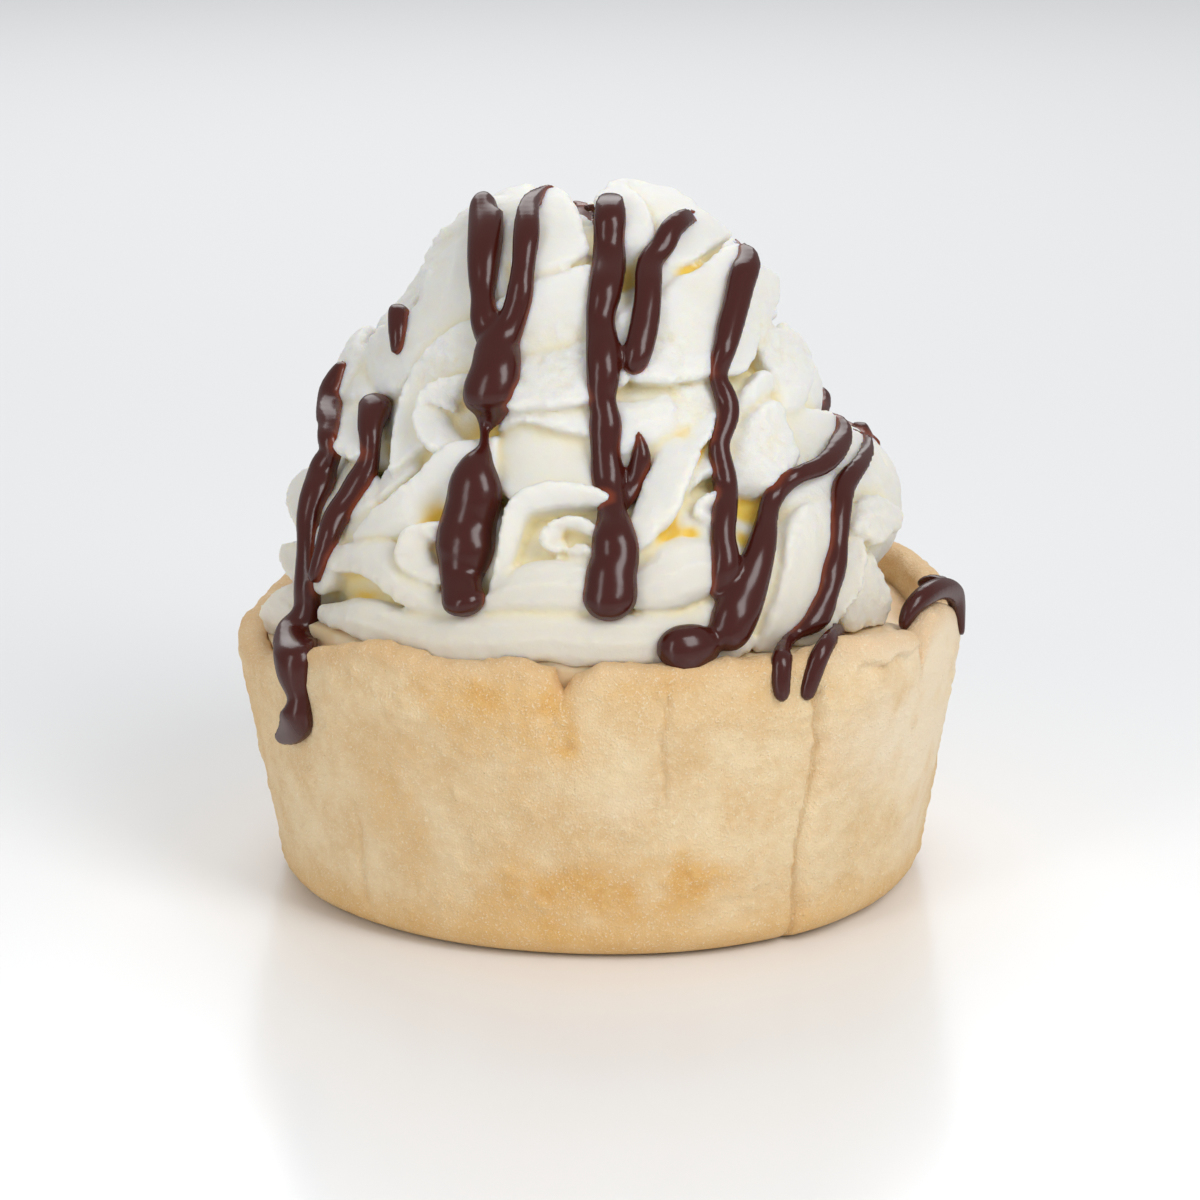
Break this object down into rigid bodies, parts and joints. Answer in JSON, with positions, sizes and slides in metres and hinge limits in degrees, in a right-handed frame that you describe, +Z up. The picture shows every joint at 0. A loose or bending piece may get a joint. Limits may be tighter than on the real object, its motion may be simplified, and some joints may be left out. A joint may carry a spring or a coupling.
{
  "type": "cream tart",
  "caption": "Small round pastry tart: hand-pressed shortcrust cup, soft filling and a tall heap of piped whipped cream with chocolate strands.",
  "frame": {"origin": "middle of the flat underside of the pastry cup", "axes": "+Z up through the heap of cream, -Y towards the front that the picture shows"},
  "size_m": [0.0909, 0.0904, 0.0873],
  "materials": {
    "pastry": "baked shortcrust, matt, speckled gold",
    "filling": "soft pale filling, moist",
    "cream": "whipped cream, soft satin",
    "chocolate": "chocolate syrup, glossy"
  },
  "bodies": {
    "root": {"pastry_shell": "pastry", "filling": "filling", "whipped_cream": "cream"}
  },
  "joints": []
}
